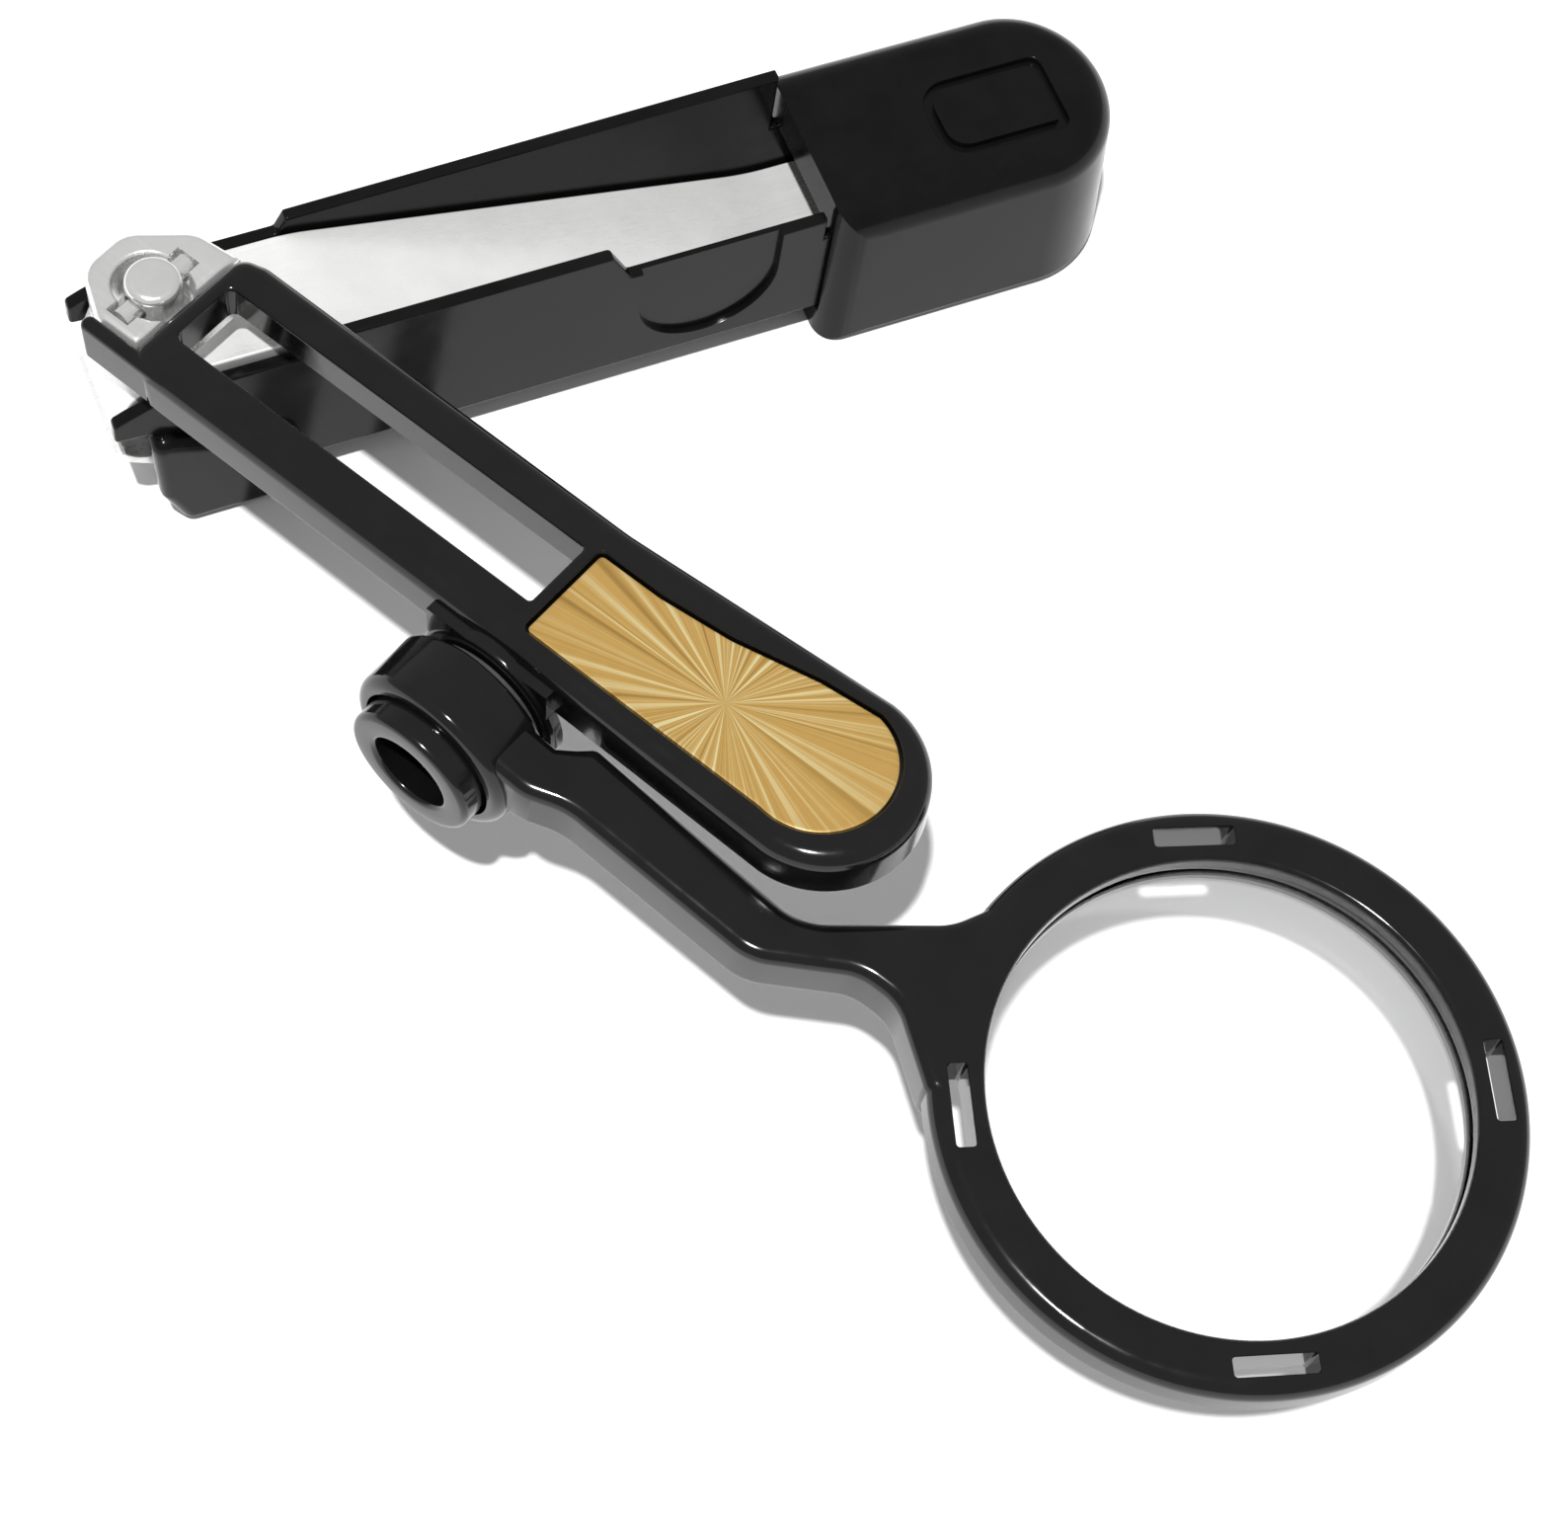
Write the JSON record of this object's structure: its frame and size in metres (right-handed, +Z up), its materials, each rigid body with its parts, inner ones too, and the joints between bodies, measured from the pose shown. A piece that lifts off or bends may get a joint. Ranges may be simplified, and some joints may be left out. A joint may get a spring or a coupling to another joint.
{
  "type": "nail clipper",
  "caption": "Folding nail clipper in a moulded case with an end cap, a swivelling windowed lever, and a magnifier on a friction hinge at the lever's side.",
  "frame": {"origin": "centre of the end cap's flat underside, on the plane that the clipper stands on", "axes": "+Z up, +X from the jaws back along the case to the end cap, -Y to the side that the lever is swivelled out to"},
  "size_m": [0.0877, 0.1151, 0.0283],
  "materials": {
    "black_plastic": "polished moulded black",
    "polished_steel": "polished, nickel plated",
    "gold_label": "gold print with rays under clear lacquer",
    "washer": "dull",
    "clear_lens": "clear polished acrylic"
  },
  "bodies": {
    "case": {"case_channel": "black_plastic", "lower_blade": "polished_steel", "rear_rivet": "polished_steel"},
    "upper_blade": {"upper_blade": "polished_steel"},
    "cap": {"case_end_cap": "black_plastic"},
    "post": {"post": "polished_steel"},
    "lever": {"cross_pin": "polished_steel", "lever_core": "polished_steel", "lever_cover": "black_plastic", "label_plate": "gold_label", "hinge_sleeve": "black_plastic", "friction_washer": "washer"},
    "magnifier": {"magnifier_frame": "black_plastic", "lens": "clear_lens", "lens_retainer": "black_plastic"}
  },
  "joints": [
    {"name": "lever_swivel", "type": "hinge", "parent": "case", "child": "post", "pos_m": [-0.066, 0, 0.0218], "axis": [0, 0, 1], "range_deg": [-118, 61.9]},
    {"name": "lever_tilt", "type": "hinge", "parent": "post", "child": "lever", "pos_m": [-0.066, 0, 0.0218], "axis": [-0.8824, -0.4706, 0], "range_deg": [0, 10]},
    {"name": "upper_blade_close", "type": "hinge", "parent": "case", "child": "upper_blade", "pos_m": [-0.008, 0, 0.0072], "axis": [0, -1, 0], "range_deg": [0, 1.9], "stiffness_Nm_per_rad": 0.5, "springref_deg": -1.72},
    {"name": "cap_slide", "type": "slide", "parent": "case", "child": "cap", "axis": [1, 0, 0], "range_m": [0, 0.03]},
    {"name": "magnifier_swing", "type": "hinge", "parent": "lever", "child": "magnifier", "pos_m": [-0.04734, -0.035, 0.01907], "axis": [-0.8824, -0.4706, 0], "range_deg": [0, 150]}
  ]
}
